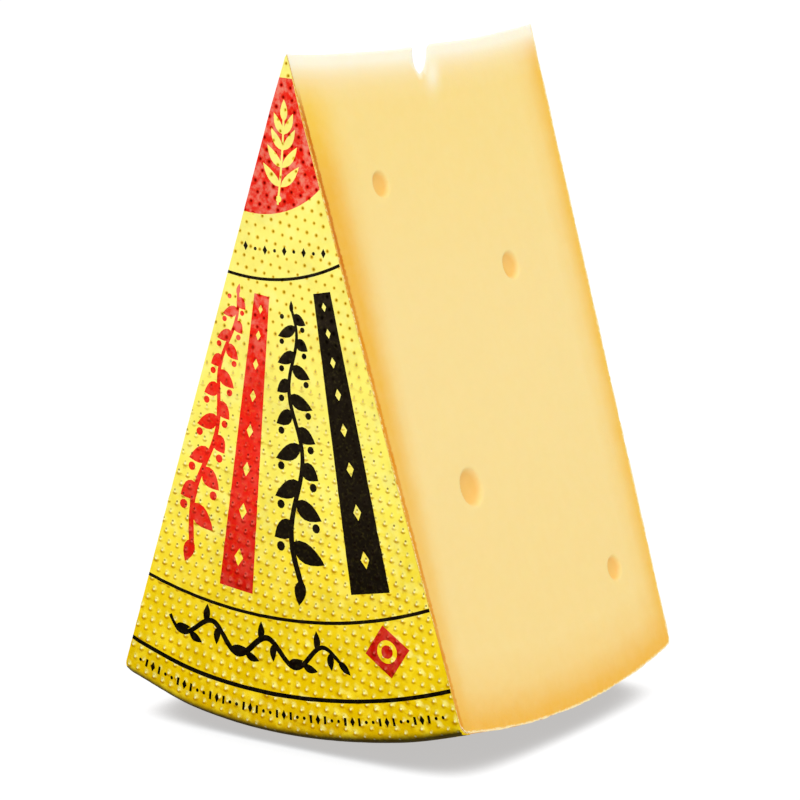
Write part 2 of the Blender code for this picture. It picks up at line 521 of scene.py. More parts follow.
def cheese_object():
    """The paste and its rind, one closed mesh that also keeps each vertex's distances for the materials."""
    build = Builder()
    cut_face(build, "right", 1.25)
    cut_face(build, "left", 1.45)
    strip = point_strip(build)
    side = heel(build)
    flat_side(build, HALF_H, side[0], strip[-1], 1.6, 5)
    flat_side(build, -HALF_H, side[-1], strip[0], 3.0, 6)
    mesh = build.mesh("cheese")

    local = local_points(mesh)
    count = len(local)
    on_paste, on_rind = np.zeros(count, bool), np.zeros(count, bool)
    for polygon in mesh.polygons:
        (on_rind if polygon.material_index == RIND else on_paste)[list(polygon.vertices)] = True

    x, y, z = local.T
    radius = np.hypot(x, z)
    from_label = HALF_H + y
    from_far = HALF_H - y
    from_heel = side_radius(y) - radius
    from_rind = np.minimum(np.minimum(from_label, from_far), from_heel)
    below_point = crest(y) - z
    offset = local - NOTCH_AT
    across, depth = offset @ NOTCH_ACROSS, -offset @ NOTCH_UP
    past_wall = np.clip(np.abs(across) - notch_half_width(depth), 0, None) * np.where(across < 0, 2.5, 1.0)
    beyond = np.hypot(past_wall, np.clip(depth - NOTCH_DEPTH, 0, None))
    # Painted light: the notch's walls, and a glow on the right cut beside it, are made near white
    glow = 0.8 * np.exp(-(((across - 2.9) / 1.5) ** 2) - ((depth - 6.0) / 3.6) ** 2)
    right = x > between(TIP_X, y)
    notch_painted_glow = np.maximum(np.exp(-((beyond / 0.75) ** 2)), glow * right)
    # Painted shade: the inside of each eye is made a deeper orange
    eye_painted_shade = np.zeros(count)
    for name, on in (("right", right), ("left", ~right)):
        tip, down = cut_line(name, y)
        r = ((rows_of(x, z) - tip) * down).sum(1)
        for eye in EYES[name]:
            share = eye_share(eye, y, r)
            eye_painted_shade = np.maximum(eye_painted_shade, np.where(on & on_paste, 1 - smooth(0.72, 1.04, share), 0))

    # The skin is uneven, the paste nearly flat, and the cut edges crumble a little.
    moved = local.copy()
    rough = 0.16 * noise3(local, 5.5, 1) + 0.07 * noise3(local, 1.6, 2)
    ripple = 0.12 * noise3(local, 15.0, 3) + 0.05 * noise3(local, 4.0, 8)
    crumb = noise3(local, 0.9, 4)
    normal = skin_normals(local)
    held = 0.2 + 0.8 * smooth(2.6, 4.0, from_label)
    moved += normal * (rough * held * on_rind)[:, None]
    edge = on_paste & on_rind
    moved -= normal * (np.clip(crumb + 0.1, 0, 1) * 0.35 * edge * (from_label > 0.4))[:, None]
    out = rows_of(np.where(right, CUT_OUT_X, -CUT_OUT_X), 0.0, CUT_OUT_Z)
    flat = on_paste & ~on_rind & (below_point > 2.0)
    fade = smooth(0.0, 6.0, np.minimum(from_rind, np.clip(below_point, 0, None)))
    moved += out * (ripple * fade * flat)[:, None]
    near_edge = np.exp(-np.clip(from_rind, 0, None) / 0.55)
    moved += out * (np.clip(crumb, -0.6, 0.4) * 0.22 * near_edge * flat * (from_rind > 0.1))[:, None]
    moved = fuller(moved)
    moved[:, 2] = np.maximum(moved[:, 2], -ORIGIN[2])

    store(mesh, "from_rind", rows_of(from_label, from_far, from_heel))
    store(mesh, "place", rows_of(below_point, eye_painted_shade, notch_painted_glow))
    return shaded_object("cheese_body", mesh, moved, 48)


# The foil label, drawn unrolled as (u to the right, d down) from the wheel's axis
LABEL_OUT = 0.7  # how far the foil's face stands off the skin, as in the solid model
LABEL_BACK = 0.06  # how far its back does
LABEL_EDGE = 0.14  # how thick the foil looks at its cut edge
LABEL_END = 42.4  # where it ends round the rim, measured along y from the middle
LABEL_REACH = 152.0  # how far down from the axis its lowest edge is
RIM_ARC = RIM_R + LABEL_OUT
RIM_TURN = math.pi / 2 - RIM_MEET
BULGE_END = math.asin(LABEL_END / (BULGE_R + LABEL_OUT))
RHO_END = RIM_C + RIM_ARC * RIM_TURN + (RIM_MEET - BULGE_END) * (BULGE_R + LABEL_OUT)
FOIL, RED, BLACK, EDGE = range(4)

# The embossing: the steps of its pattern, one dot's place, the radius and number of mesh points round a
# dot, and the slant of the foil's folds
DOT_A, DOT_B = np.array([2.42, 0.50]), np.array([0.57, 2.60])
DOT_AT = np.array([8.73, 70.61])
DOT_RINGS = ((0.25, 7), (0.53, 9), (0.92, 11))
FOLD_TURN = math.radians(38)


def wrap(rho, out):
    """(radius, y, turn) over the flat face and round the rim for an unrolled distance from the axis."""
    rho = np.asarray(rho, float)
    out = np.broadcast_to(out, rho.shape)
    past = rho - RIM_C
    turn = np.clip(past / RIM_ARC, 0, RIM_TURN)
    bulge = RIM_MEET - np.clip(past - RIM_ARC * RIM_TURN, 0, None) / (BULGE_R + LABEL_OUT)
    radius = np.where(past < 0, rho, RIM_C + (RIM_R + out) * np.sin(turn))
    y = np.where(past < 0, -HALF_H - out, -RIM_Y - (RIM_R + out) * np.cos(turn))
    on_bulge = past > RIM_ARC * RIM_TURN
    radius = np.where(on_bulge, BULGE_C + (BULGE_R + out) * np.cos(bulge), radius)
    y = np.where(on_bulge, -(BULGE_R + out) * np.sin(bulge), y)
    return radius, y, turn


def stand_off(flat):
    """How far the foil's face stands off the skin: it lies closer at the point and low on the right."""
    angle = np.degrees(np.arctan2(flat[:, 0], flat[:, 1]))
    low_right = smooth(95.0, 128.0, flat[:, 1]) * smooth(11.0, 17.0, angle)
    return LABEL_OUT - 0.42 * (1 - smooth(0.0, 13.0, flat[:, 1])) - 0.32 * low_right


def on_label(flat, out):
    """Local points of unrolled label points, standing out from the skin."""
    rho = np.hypot(flat[:, 0], flat[:, 1])
    angle = np.arctan2(flat[:, 0], flat[:, 1])
    radius, y, _ = wrap(rho, out)
    return fuller(rows_of(radius * np.sin(angle), y, -radius * np.cos(angle)))


def polar(angle, rho):
    """Unrolled label point at an angle in degrees from straight down."""
    turn = np.radians(angle)
    return rows_of(rho * np.sin(turn), rho * np.cos(turn))


def label_outline():
    """The label's edge, unrolled: down the left cut, along the rim and up the right cut."""
    ends = {}
    rho = np.concatenate([np.linspace(0.6, RIM_C, 170), np.linspace(RIM_C, RHO_END, 12)[1:]])
    radius, y, _ = wrap(rho, LABEL_OUT)
    for side in ("left", "right"):
        points = cut_point(side, y, reach(side, y, radius))
        angle = np.arctan2(points[:, 0], -points[:, 2])
        ends[side] = rows_of(rho * np.sin(angle), rho * np.cos(angle))
    low, high = (math.atan2(*ends[side][-1]) for side in ("left", "right"))
    turns = np.linspace(low, high, 110)[1:-1]
    bottom = rows_of(RHO_END * np.sin(turns), RHO_END * np.cos(turns))
    return np.concatenate([ends["left"], bottom, ends["right"][::-1]])


def sampled(points, pitch):
    """A closed outline with its long edges divided."""
    found = []
    for a, b in zip(points, np.roll(points, -1, axis=0)):
        steps = max(1, int(round(np.linalg.norm(b - a) / pitch)))
        found += [a + (b - a) * k / steps for k in range(steps)]
    return np.array(found)


def leaf(base, tip, width, lean=0.0, points=7):
    """A pointed leaf from base to tip, its widest place leaning towards the base."""
    base, tip = np.asarray(base, float), np.asarray(tip, float)
    along = tip - base
    across = np.array([-along[1], along[0]]) / np.linalg.norm(along)
    t = np.linspace(0, 1, points)
    half = width / 2 * np.sin(math.pi * t**0.8) ** 0.9
    middle = base + along * t[:, None] + across * (lean * np.sin(math.pi * t))[:, None]
    right = middle + across * half[:, None]
    left = middle - across * half[:, None]
    return np.concatenate([right, left[-2:0:-1]])


def disc(centre, radius, points=12):
    """A round spot."""
    turns = np.arange(points) * 2 * math.pi / points
    return np.asarray(centre) + radius * rows_of(np.cos(turns), np.sin(turns))


def lozenge(centre, width, height, angle=0.0):
    """A four-cornered spot, turned by an angle in degrees."""
    turn = math.radians(angle)
    along = np.array([math.sin(turn), math.cos(turn)]) * height / 2
    across = np.array([math.cos(turn), -math.sin(turn)]) * width / 2
    centre = np.asarray(centre, float)
    return np.array([centre + along, centre + across, centre - along, centre - across])


def ribbon(line, widths):
    """A closed outline round a line of points, with a width at each."""
    line = np.asarray(line, float)
    along = np.gradient(line, axis=0)
    across = rows_of(-along[:, 1], along[:, 0])
    across /= np.linalg.norm(across, axis=1, keepdims=True)
    half = np.broadcast_to(widths, len(line))[:, None] / 2
    return np.concatenate([line + across * half, (line - across * half)[::-1]])


def arc_line(centre, radius, width):
    """A thin curved line across the whole label."""
    turns = np.radians(np.linspace(-30, 30, 76))
    line = np.asarray(centre) + radius * rows_of(np.sin(turns), np.cos(turns))
    return ribbon(line, width)


def sector(low, high, start, end, pitch=1.5):
    """A radial bar between two angles and two distances from the axis."""
    rho = np.arange(start, end + pitch / 2, pitch)
    return np.concatenate([polar(low, rho), polar(high, rho[::-1])])


def garland(angle, half_width, start, end, ink):
    """A leafy stem that runs away from the axis and grows with the label's width."""

    def stem(rho):
        return angle + half_width * 0.30 * np.sin(np.log(rho / start) * 17.0)

    rho = np.linspace(start, end, 60)
    shapes = [ribbon(polar(stem(rho), rho), 0.013 * rho)]
    shapes.append(leaf(polar(stem(start), start + 0.8), polar(stem(start), 0.965 * start), 0.02 * start))
    shapes.append(leaf(polar(stem(end), end - 1.0), polar(stem(end) - 0.4, 1.042 * end), 0.028 * end))
    place = 1.02 * start
    side = 1
    while place < 0.96 * end:
        base = polar(stem(place), place)
        tip = polar(angle + half_width * 0.98 * side, 1.042 * place)
        shapes.append(leaf(base, tip, 0.043 * place, 0.004 * place * side))
        bud = polar(angle - half_width * 0.72 * side, 1.012 * place)
        shapes.append(disc(bud, 0.0105 * place, 10))
        place *= 1.047
        side = -side
    return [(ink, shape) for shape in shapes]


def vine(start, end, rho, swing):
    """A trailing black stem across the label with leaves on both sides."""

    def point(turn):
        return polar(turn, rho + swing * np.sin((turn - start) * 0.92))

    turns = np.linspace(start, end, 90)
    shapes = [ribbon(point(turns), 0.9 + 0.5 * np.sin(math.pi * (turns - start) / (end - start)))]
    places = np.linspace(start + 0.85, end - 0.9, 12)
    for k, turn in enumerate(places):
        along = point(turn + 0.05) - point(turn - 0.05)
        along /= np.linalg.norm(along)
        across = np.array([-along[1], along[0]]) * (1 if k % 2 else -1)
        base = point(turn)
        shapes.append(leaf(base, base + 2.6 * along + 3.4 * across, 1.9, 0.2))
    along = point(end) - point(end - 0.1)
    shapes.append(leaf(point(end - 0.1), point(end) + 4.0 * along / np.linalg.norm(along), 1.8))
    return [(BLACK, shape) for shape in shapes]


def label_print():
    """The generic print as (ink, outline) shapes, later ones over earlier ones."""
    shapes = []

    def draw(ink, *outlines):
        shapes.extend((ink, outline) for outline in outlines)

    # Red field at the point, with a gold sheaf of leaves
    left = polar(-24.0, np.linspace(5.4, 36.5, 20))
    across = np.linspace(0, 1, 22)[1:]
    lower = polar(48 * across - 24, 36.5 - 8.0 * across**1.6)
    upper = polar(24.0, np.linspace(27.5, 5.6, 18))
    draw(RED, np.concatenate([left, lower, upper]))
    stem = polar(np.linspace(0.5, -3.0, 14), np.linspace(12.0, 32.5, 14))
    draw(FOIL, ribbon(stem, 0.5))
    for k, rho in enumerate((15.0, 18.4, 22.2, 26.4)):
        root = polar(0.5 - 0.16 * (rho - 12), rho + 2.2)
        for side in (-1, 1):
            tip = polar(math.degrees(math.atan2(*root)) + side * 11.5, rho - 2.2)
            draw(FOIL, leaf(root, tip, 1.75 + 0.1 * k, 0.25 * side))
    draw(FOIL, leaf(polar(0.5, 14.4), polar(0.7, 9.6), 1.9))
    draw(FOIL, disc(polar(-2.6, 31.2), 0.75))
    # Small lozenges and dots under it
    for k in range(9):
        at = polar(-14.0 + 28.0 * k / 8, 42.9 + 0.5 * math.cos(k * 0.7))
        draw(BLACK, disc(at, 0.42, 8) if k % 2 else lozenge(at, 1.25, 2.1))
    # Thin curved lines
    draw(BLACK, arc_line((-6.6, 0.0), 49.05, 0.7), arc_line((-5.0, 6.0), 118.7, 0.8))
    draw(BLACK, arc_line((-2.4, 7.0), 134.7, 0.95))
    # Leafy stems and bars, red then black
    red_bar, black_bar = (-8.9, -4.5, 53.0, 120.6), (8.6, 13.7, 51.6, 117.4)
    shapes += garland(-13.6, 2.9, 54.0, 114.0, RED)
    draw(RED, sector(*red_bar))
    shapes += garland(1.9, 3.7, 55.0, 116.0, BLACK)
    draw(BLACK, sector(*black_bar))
    for low, high, start, end in (red_bar, black_bar):
        rho = start * 1.06
        while rho < end * 0.975:
            at = polar((low + high) / 2, rho)
            draw(FOIL, lozenge(at, 0.021 * rho, 0.036 * rho, (low + high) / 2))
            rho *= 1.105
    # A trailing vine, and a red diamond with a gold ring
    shapes += vine(-14.4, 6.2, 132.4, 2.7)
    at = polar(12.0, 130.4)
    draw(RED, lozenge(at, 11.8, 11.8, 12.0))
    draw(FOIL, disc(at, 2.6, 26))
    draw(RED, disc(at, 1.5, 20))
    # Small marks along the rim
    for k in range(46):
        angle = -16.6 + 33.2 * k / 45
        at = polar(angle, 145.9)
        if k % 5 == 2:
            draw(BLACK, lozenge(at, 1.3, 2.3, angle))
        elif k % 5 in (0, 4):
            draw(BLACK, disc(at, 0.42, 8))
        else:
            bar = np.array([polar(angle - 0.13, 145.0), polar(angle + 0.13, 145.0)])
            end = np.array([polar(angle + 0.13, 146.8), polar(angle - 0.13, 146.8)])
            draw(BLACK, np.concatenate([bar, end]))
    return [(ink, sampled(shape, 1.3)) for ink, shape in shapes]


def tree_of(points):
    """A search tree over flat points."""
    tree = KDTree(len(points))
    for i, p in enumerate(points):
        tree.insert((p[0], p[1], 0.0), i)
    tree.balance()
    return tree


def nearest(tree, points):
    """Distance from each point to the closest one in a tree, and that one's number."""
    found = [tree.find((p[0], p[1], 0.0)) for p in points]
    return np.array([f[2] for f in found]), np.array([f[1] for f in found])


def emboss_dots(outline):
    """Centres of the pressed dots that lie on the label."""
    k = np.arange(-90, 91)
    i, j = np.meshgrid(k, k)
    at = DOT_AT + i.reshape(-1, 1) * DOT_A + j.reshape(-1, 1) * DOT_B
    at = at[(np.abs(at[:, 0]) < 52) & (at[:, 1] > -1) & (at[:, 1] < RHO_END + 2)]
    rng = np.random.default_rng(11)
    at = at + rng.uniform(-0.07, 0.07, at.shape)
    return at[inside(at, outline * 1.006)]


def relief(flat, dots, dot_tree, strength):
    """Height of the embossed and crinkled foil, the nearest dot's distance and the offset from it."""
    distance, which = nearest(dot_tree, flat)
    lower = smooth(58.0, 108.0, flat[:, 1])
    amount = strength[which]
    mound = (0.03 + 0.09 * lower) * amount * np.exp(-((distance / 0.66) ** 2))
    core = 0.08 * lower * amount * np.exp(-((distance / 0.26) ** 2))
    pit = 0.12 * (1 - lower) * amount * np.exp(-((distance / 0.30) ** 2))
    along = flat[:, 0] * math.cos(FOLD_TURN) + flat[:, 1] * math.sin(FOLD_TURN)
    across = -flat[:, 0] * math.sin(FOLD_TURN) + flat[:, 1] * math.cos(FOLD_TURN)
    folded = rows_of(along / 3.4, across, 0.0)
    fold = noise3(folded, 2.6, 5) + 0.5 * noise3(folded, 1.3, 6)
    slow = noise3(rows_of(flat[:, 0], flat[:, 1], 0.0), 9.0, 7)
    strong = 0.2 + 0.8 * smooth(90.0, 160.0, flat[:, 1] + 1.1 * flat[:, 0])
    crinkle = strong * (0.09 * fold + 0.16 * slow)
    return mound + core - pit + crinkle, distance / (0.5 + 0.5 * amount), flat - dots[which]


def label_object():
    """The foil as one closed sheet, its face embossed and its fields of ink part of the mesh."""
    outline = label_outline()
    shapes = label_print()
    dots = emboss_dots(outline)
    points = [outline] + [shape for _, shape in shapes]
    edges = []
    count = 0
    for part in points:
        edges += [(count + k, count + (k + 1) % len(part)) for k in range(len(part))]
        count += len(part)
    fixed = np.concatenate(points)
    fixed_tree = tree_of(np.concatenate([sampled(p, 0.35) for p in points]))
    dot_tree = tree_of(dots)
    rings = [dots]
    for radius, number in DOT_RINGS:
        turns = np.arange(number) * 2 * math.pi / number + radius
        around = radius * rows_of(np.cos(turns), np.sin(turns))
        rings.append((dots[:, None] + around[None]).reshape(-1, 2))
    free = np.concatenate(rings)
    grid = hex_grid((-50.0, 0.0), (50.0, RHO_END), 1.05, 9)
    free = np.concatenate([free, grid[nearest(dot_tree, grid)[0] > 1.2]])
    free = free[inside(free, outline)]
    free = free[nearest(fixed_tree, free)[0] > 0.17]
    every = np.concatenate([fixed, free])
    verts, _, faces, _, _, _ = delaunay_2d_cdt([Vector(p) for p in every], edges, [], 1, 1e-4, False)
    flat = np.array([tuple(v) for v in verts])
    faces = np.array([tuple(f) for f in faces])
    middle = flat[faces].mean(axis=1)
    kept = inside(middle, outline)
    faces, middle = faces[kept], middle[kept]
    ink = np.full(len(faces), FOIL)
    for number, shape in shapes:
        low, high = shape.min(axis=0), shape.max(axis=0)
        near = np.where(((middle >= low) & (middle <= high)).all(axis=1))[0]
        ink[near[inside(middle[near], shape)]] = number

    strength = np.random.default_rng(12).uniform(0.7, 1.2, len(dots))
    height, dot, offset = relief(flat, dots, dot_tree, strength)
    rho = np.hypot(flat[:, 0], flat[:, 1])
    turn = wrap(rho, LABEL_OUT)[2]
    height = height * (1 - smooth(0.15, 0.8, turn))
    # The slope towards the upper right, where the light on the embossing seems to come from
    step = np.array([0.55, -0.83]) * 0.16
    ahead, behind = (relief(flat + move, dots, dot_tree, strength)[0] for move in (step, -step))
    slope = (ahead - behind) * (1 - smooth(0.0, 0.5, turn)) / 0.32
    build = Builder()
    values = rows_of(flat[:, 1], dot, offset[:, 0], slope, rho, offset[:, 1])
    build.add(on_label(flat, stand_off(flat) + height), faces, ink.tolist(), values)

    # The foil's edge and back, so that the label is one closed sheet
    seen = {edge for a, b, c in faces for edge in ((a, b), (b, c), (c, a))}
    following = {a: b for a, b in seen if (b, a) not in seen}
    start = next(iter(following))
    loop = [start]
    while following[loop[-1]] != start:
        loop.append(following[loop[-1]])
    edge = flat[loop]
    face = stand_off(edge)
    outs = (face + height[loop], face - LABEL_EDGE + 0.5 * height[loop], LABEL_BACK)
    rows = [on_label(edge, out) for out in outs]
    closed = [np.concatenate([row, row[:1]]) for row in rows]
    values = np.zeros((3 * (len(loop) + 1), 6))
    values[:, 0] = np.tile(np.append(edge[:, 1], edge[0, 1]), 3)
    values[:, 1] = 1.0
    inks = [FOIL] * len(loop) + [EDGE] * len(loop)
    build.add(np.concatenate(closed), grid_faces(3, len(loop) + 1), inks, values)
    coarse = hex_grid((-50.0, 0.0), (50.0, RHO_END), 5.0, 10)
    coarse = coarse[inside(coarse, edge)]
    back, back_faces = triangulate(np.concatenate([edge, coarse]), len(edge))
    build.add(on_label(back, LABEL_BACK), back_faces, FOIL)

    mesh = build.mesh("label", ("foil", "press"))
    return shaded_object("foil_label", mesh, local_points(mesh), 50)


# Materials


def linear(colour):
    """Linear values of a colour given as 0 to 255 sRGB."""
    share = [c / 255 for c in colour]
    return tuple(c / 12.92 if c <= 0.04045 else ((c + 0.055) / 1.055) ** 2.4 for c in share) + (1.0,)


class Nodes:
    """A material's node tree with short calls for the nodes used here."""

    def __init__(self, name):
        self.material = bpy.data.materials.new(name)
        self.material.use_nodes = True
        self.tree = self.material.node_tree
        self.shader = self.tree.nodes["Principled BSDF"]

    def put(self, socket, value):
        """Links or sets a socket; a colour of three numbers is sRGB from 0 to 255."""
        if isinstance(value, bpy.types.NodeSocket):
            self.tree.links.new(value, socket)
        elif value is not None:
            socket.default_value = linear(value) if socket.type == "RGBA" and len(value) == 3 else value

    def node(self, kind, inputs=(), **settings):
        made = self.tree.nodes.new(kind)
        for key, value in settings.items():
            setattr(made, key, value)
        for key, value in dict(inputs).items():
            self.put(made.inputs[key], value)
        return made

    def math(self, operation, a, b=None, c=None, clamp=False):
        made = self.node("ShaderNodeMath", operation=operation, use_clamp=clamp)
        for socket, value in zip(made.inputs, (a, b, c)):
            self.put(socket, value)
        return made.outputs[0]

    def times(self, *values):
        product = values[0]
        for value in values[1:]:
            product = self.math("MULTIPLY", product, value)
        return product

    def mix(self, factor, a, b, blend="MIX"):
        made = self.node("ShaderNodeMix", data_type="RGBA", blend_type=blend, clamp_factor=True)
        self.put(made.inputs[0], factor)
        self.put(made.inputs[6], a)
        self.put(made.inputs[7], b)
        return made.outputs[2]

    def range(self, value, low, high, to_low=0.0, to_high=1.0, kind="SMOOTHSTEP"):
        made = self.node("ShaderNodeMapRange", interpolation_type=kind)
        for key, number in zip(range(5), (value, low, high, to_low, to_high)):
            self.put(made.inputs[key], number)
        return made.outputs[0]

    def ramp(self, value, stops):
        """A colour ramp over (place, sRGB colour) stops."""
        made = self.node("ShaderNodeValToRGB", {"Fac": value})
        elements = made.color_ramp.elements
        while len(elements) < len(stops):
            elements.new(0.5)
        for element, (place, colour) in zip(elements, stops):
            element.position = place
            element.color = linear(colour)
        return made.outputs[0]

    def attribute(self, name):
        """The three values that the mesh keeps under a name."""
        found = self.node("ShaderNodeAttribute", attribute_name=name)
        parts = self.node("ShaderNodeSeparateXYZ", {0: found.outputs["Vector"]})
        return parts.outputs[0], parts.outputs[1], parts.outputs[2]

    def mapped(self, place, **settings):
        return self.node("ShaderNodeMapping", {"Vector": place, **settings}).outputs[0]

    def position(self):
        """Where a point lies on its piece, in millimetres."""
        place = self.node("ShaderNodeTexCoord").outputs["Object"]
        return self.mapped(place, Scale=(1000.0, 1000.0, 1000.0))

    def noise(self, place, size, detail=2.0, roughness=0.5):
        """Noise whose lumps are about size millimetres across, from 0 to 1."""
        inputs = {"Vector": place, "Scale": 1 / size, "Detail": detail, "Roughness": roughness}
        return self.node("ShaderNodeTexNoise", inputs).outputs[0]

    def bump(self, height, distance, strength=1.0):
        inputs = {"Height": height, "Distance": distance * 0.001, "Strength": strength}
        made = self.node("ShaderNodeBump", inputs)
        self.put(self.shader.inputs["Normal"], made.outputs[0])

    def set(self, **inputs):
        """Sets or links the surface's own inputs."""
        for key, value in inputs.items():
            self.put(self.shader.inputs[key.replace("_", " ")], value)


def grey_stops(*stops):
    """Ramp stops of greys, each given by its place and its linear value."""
    found = []
    for place, share in stops:
        value = share * 12.92 if share <= 0.0031 else 1.055 * share ** (1 / 2.4) - 0.055
        found.append((place, (255 * value,) * 3))
    return found


# The paste's colour, a final share of it that makes up for the light, how its deeper colours fade
# away from the heel and the far side and from the label, and how its painted glow fades from the point
PASTE_COLOUR = (250, 223, 155)
PASTE_SHARE = (0.985, 0.968, 0.895, 1.0)
SOFT_FADE = grey_stops((0.0, 1.0), (0.15, 0.88), (0.3, 0.62), (0.55, 0.24), (1.0, 0.0))
LABEL_FADE = grey_stops((0.0, 1.0), (0.25, 0.97), (0.45, 0.68), (0.65, 0.28), (0.85, 0.07), (1.0, 0.0))
TIP_GLOW_FADE = grey_stops((0.0, 1.0), (0.11, 0.88), (0.2, 0.5), (0.3, 0.24), (0.42, 0.08), (0.6, 0.0))


def paste_material():
    """Pale yellow paste, deeper towards the rind, with crumbs at its edges, a painted glow at the point,
    painted light in the notch and painted shade in its eyes.
    """
    n = Nodes("cheese_paste")
    place = n.position()
    label, far, heel_side = n.attribute("from_rind")
    below, eye, notch = n.attribute("place")
    wander = n.times(n.math("SUBTRACT", n.noise(place, 6.0, 3.0), 0.5), 1.6)
    grain = n.times(n.math("SUBTRACT", n.noise(place, 0.9, 3.0, 0.65), 0.5), 1.3)

    def fade(distance, reach_mm, stops):
        """1 at an edge, falling to 0 within reach_mm of it, along a slightly wandering line."""
        value = n.math("DIVIDE", n.math("ADD", distance, wander), reach_mm, clamp=True)
        return n.ramp(value, stops)

    colour = n.mix(n.range(below, 12.0, 60.0, 0.6, 0.0), PASTE_COLOUR, (250, 221, 138))
    beside = fade(label, n.range(below, 30.0, 130.0, 14.5, 7.5, "LINEAR"), LABEL_FADE)
    strength = n.times(n.range(below, 45.0, 130.0, 1.0, 0.66), n.range(below, 2.0, 14.0, 0.3, 1.0))
    orange = n.mix(n.range(below, 10.0, 30.0), (250, 206, 82), (242, 186, 68))
    colour = n.mix(n.times(beside, strength), colour, orange)
    colour = n.mix(fade(far, 11.0, SOFT_FADE), colour, (244, 194, 78))
    colour = n.mix(fade(heel_side, 17.0, SOFT_FADE), colour, (241, 179, 48))
    # Painted glow: the paste whitens towards the thin point, as if lit through it
    tip_painted_glow = n.ramp(n.math("DIVIDE", below, 18.0, clamp=True), TIP_GLOW_FADE)
    colour = n.mix(tip_painted_glow, colour, (255, 249, 236))
    # Painted light: near white on the notch's walls and on the glow beside the notch
    colour = n.mix(n.times(notch, 0.9), colour, (255, 252, 238))
    yellower = n.range(below, 70.0, 130.0, 0.0, 0.18)
    colour = n.mix(yellower, colour, (244, 205, 120))

    def band(distance, low, high, blur):
        """1 between two distances, with a grainy outline."""
        value = n.math("ADD", distance, grain)
        start = n.range(value, low - blur, low + blur)
        return n.times(start, n.range(value, high + blur, high - blur))

    # Beside the foil the cut shows a thin section of the rind: cream specks, then a dark orange line
    deep = n.math("ADD", n.noise(place, 7.0, 2.0), n.math("DIVIDE", below, 400.0))
    deep = n.range(deep, 0.5, 0.9, 1.0, 0.7)
    from_tip = n.range(below, 6.0, 12.0)
    dark_line = n.times(band(label, -0.6, 0.85, 0.2), n.times(deep, from_tip))
    line_colour = n.mix(n.range(below, 40.0, 62.0), (212, 118, 0), (232, 144, 0))
    colour = n.mix(dark_line, colour, line_colour)
    crust = n.range(n.math("ADD", label, grain), -0.05, -0.35)
    tan = n.mix(n.range(n.noise(place, 0.7, 2.0), 0.45, 0.62), (236, 172, 70), (252, 226, 156))
    colour = n.mix(n.times(crust, n.times(from_tip, 0.9)), colour, tan)
    crumb = n.range(n.math("ADD", n.math("MINIMUM", far, heel_side), grain), 0.65, 0.15, 0.0, 0.8)
    colour = n.mix(crumb, colour, (255, 238, 196))
    # Painted shade inside the eyes
    colour = n.mix(n.times(eye, 0.85), colour, (246, 195, 104))
    mottle = n.range(n.noise(place, 3.2, 4.0, 0.6), 0.3, 0.7)
    colour = n.mix(n.times(mottle, 0.06), colour, (255, 236, 190))
    colour = n.mix(1.0, colour, PASTE_SHARE, "MULTIPLY")
    n.set(Base_Color=colour, Roughness=n.range(n.noise(place, 2.0, 2.0), 0.3, 0.7, 0.46, 0.6))
    n.set(Specular_IOR_Level=0.1, Subsurface_Weight=0.22, Subsurface_Scale=0.004)
    n.set(Subsurface_Radius=(1.0, 0.6, 0.25))
    fine = n.math("ADD", n.noise(place, 0.8, 4.0, 0.6), n.times(n.noise(place, 3.5, 2.0), 1.5))
    n.bump(fine, 0.12, 0.5)
    return n.material


def rind_material():
    """Orange rind with pale specks and small dark pits."""
    n = Nodes("cheese_rind")
    place = n.position()
    patches = n.noise(place, 9.0, 5.0, 0.6)
    colour = n.ramp(patches, ((0.3, (206, 138, 50)), (0.5, (228, 162, 66)), (0.72, (240, 186, 96))))
    specks = n.range(n.noise(place, 1.3, 3.0, 0.6), 0.56, 0.7)
    colour = n.mix(n.times(specks, 0.5), colour, (246, 214, 150))
    pits = n.range(n.noise(place, 0.8, 2.0, 0.6), 0.36, 0.27)
    colour = n.mix(n.times(pits, 0.5), colour, (150, 82, 24))
    n.set(Base_Color=colour, Roughness=0.62, Specular_IOR_Level=0.3)
    n.set(Subsurface_Weight=0.1, Subsurface_Scale=0.003, Subsurface_Radius=(1.0, 0.5, 0.2))
    n.bump(n.noise(place, 0.9, 5.0, 0.65), 0.25, 0.6)
    return n.material


# The foil's yellow, paler at the point and deeper and duller towards the rim: partly its own colour and
# partly painted light, brighter above and shaded below
FOIL_COLOURS_AND_SHADE = (
    (0.0, (254, 243, 128)),
    (0.45, (255, 240, 112)),
    (0.6, (255, 240, 98)),
    (0.72, (253, 229, 62)),
    (0.82, (242, 209, 20)),
    (0.93, (232, 194, 0)),
    (0.98, (224, 180, 0)),
    (1.0, (212, 166, 0)),
)

# Each ink's colour at the point, at the rim, where it is darker partly as painted shade, and a pale colour
# for patches between the dots and for its painted highlights
RED_INK = ((246, 34, 20), (188, 8, 0), (250, 138, 116))
BLACK_INK = ((27, 21, 14), (6, 4, 2), (48, 39, 30))


